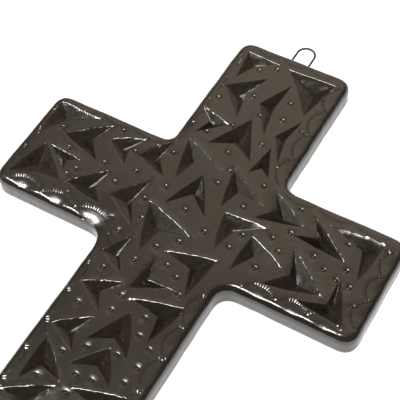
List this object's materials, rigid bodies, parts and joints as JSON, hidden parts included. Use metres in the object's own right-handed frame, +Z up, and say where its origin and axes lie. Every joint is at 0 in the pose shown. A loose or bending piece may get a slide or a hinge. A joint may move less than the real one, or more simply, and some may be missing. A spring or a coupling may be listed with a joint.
{
  "type": "ceramic wall cross",
  "caption": "Flat Latin cross of burnished black clay with chip-carved pits, stamped dots and a scalloped border, hung on a wall by a wire loop in its top end.",
  "frame": {"origin": "inside top of the wire loop, where it hangs on a nail, at half the slab's thickness", "axes": "+Z up along the shaft, -Y out of the carved front, +Y into the wall, +X to the right seen from the front"},
  "size_m": [0.202, 0.012, 0.3042],
  "materials": {
    "burnished_clay": "unglazed black clay, burnished to a soft shine, duller inside the cuts",
    "dark_wire": "dark annealed wire, dull"
  },
  "bodies": {
    "root": {"cross": "burnished_clay", "hanging_wire": "dark_wire"}
  },
  "joints": []
}
